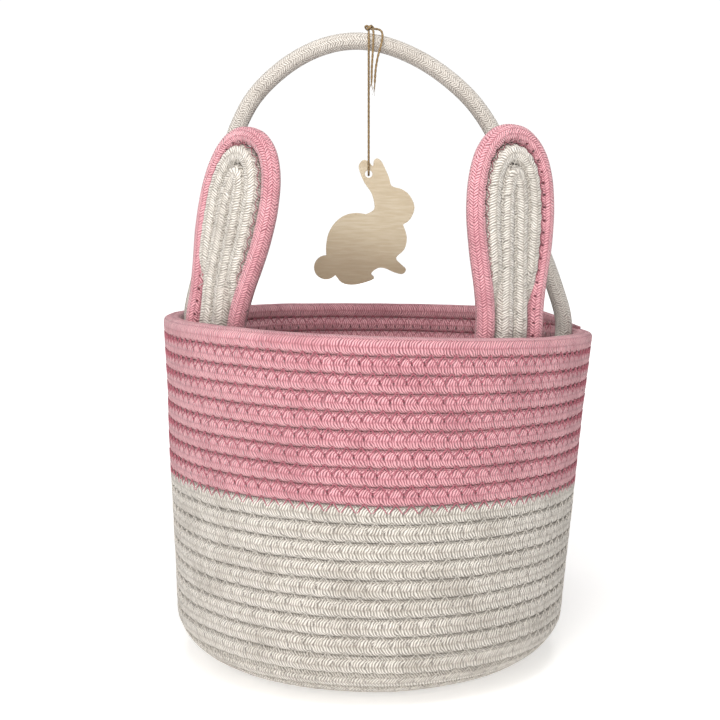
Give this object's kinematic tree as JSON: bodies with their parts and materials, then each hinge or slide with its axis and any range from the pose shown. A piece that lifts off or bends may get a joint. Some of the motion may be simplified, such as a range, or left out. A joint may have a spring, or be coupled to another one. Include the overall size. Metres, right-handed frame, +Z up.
{
  "type": "easter basket",
  "caption": "Round coiled-rope basket in two colours with an arch handle, sewn-in bunny ears and a wooden bunny tag hanging on twine.",
  "frame": {"origin": "centre of the base, on the surface the basket stands on", "axes": "+Z up, -Y towards the front with the ears, +X to the right seen from the front; the handle spans X"},
  "size_m": [0.23, 0.23, 0.3395],
  "materials": {
    "white_rope": "braided cotton, unbleached",
    "pink_rope": "braided cotton, dyed",
    "rope_filler": "loose spun cotton",
    "sewing_thread": "twisted polyester, slight sheen",
    "jute_twine": "twisted jute, hairy",
    "plywood": "laser-cut, bare"
  },
  "bodies": {
    "basket": {"base_coil": "white_rope", "white_corner_coil": "white_rope", "white_wall_coil": "white_rope", "pink_wall_coil": "pink_rope", "rim_coil": "pink_rope", "handle_end_left": "white_rope", "handle_tack_left_1": "sewing_thread", "handle_tack_left_2": "sewing_thread", "handle_tack_left_3": "sewing_thread", "handle_end_right": "white_rope", "handle_tack_right_1": "sewing_thread", "handle_tack_right_2": "sewing_thread", "handle_tack_right_3": "sewing_thread", "left_ear_outline_end_a": "pink_rope", "left_ear_fill_end_a": "white_rope", "left_ear_fill_end_b": "white_rope", "left_ear_outline_end_b": "pink_rope", "left_ear_tack_1": "sewing_thread", "left_ear_tack_2": "sewing_thread", "right_ear_outline_end_a": "pink_rope", "right_ear_fill_end_a": "white_rope", "right_ear_fill_end_b": "white_rope", "right_ear_outline_end_b": "pink_rope", "right_ear_tack_1": "sewing_thread", "right_ear_tack_2": "sewing_thread"},
    "handle": {"handle_cover": "white_rope", "handle_core": "rope_filler"},
    "left_ear": {"left_ear_outline": "pink_rope", "left_ear_outer_fill": "white_rope", "left_ear_inner_fill": "white_rope"},
    "right_ear": {"right_ear_outline": "pink_rope", "right_ear_outer_fill": "white_rope", "right_ear_inner_fill": "white_rope"},
    "twine_hitch": {"twine_knot": "jute_twine", "twine_tail_long": "jute_twine", "twine_tail_short": "jute_twine"},
    "twine_strands": {"twine_strand_front": "jute_twine", "twine_strand_back": "jute_twine"},
    "tag": {"twine_bight": "jute_twine", "bunny_tag": "plywood"}
  },
  "joints": [
    {"name": "handle_lean", "type": "hinge", "parent": "basket", "child": "handle", "pos_m": [0, 0, 0.187], "axis": [1, 0, 0], "range_deg": [-35, 15], "stiffness_Nm_per_rad": 0.6},
    {"name": "left_ear_bend", "type": "hinge", "parent": "basket", "child": "left_ear", "pos_m": [-0.07555, -0.0634, 0.187], "axis": [0.6428, -0.766, 0], "range_deg": [-20, 20], "stiffness_Nm_per_rad": 0.6},
    {"name": "right_ear_bend", "type": "hinge", "parent": "basket", "child": "right_ear", "pos_m": [0.06409, -0.07638, 0.187], "axis": [0.766, 0.6428, 0], "range_deg": [-20, 20], "stiffness_Nm_per_rad": 0.6},
    {"name": "tag_swing", "type": "hinge", "parent": "handle", "child": "twine_hitch", "pos_m": [0, 0, 0.331], "axis": [1, 0, 0], "range_deg": [-25, 40]},
    {"name": "tag_sway", "type": "hinge", "parent": "twine_hitch", "child": "twine_strands", "pos_m": [0, 0, 0.331], "axis": [0, 1, 0], "range_deg": [-8, 8]},
    {"name": "tag_twist", "type": "hinge", "parent": "twine_strands", "child": "tag", "pos_m": [0, 0, 0.288], "axis": [0, 0, 1], "range_deg": [-90, 90]}
  ]
}
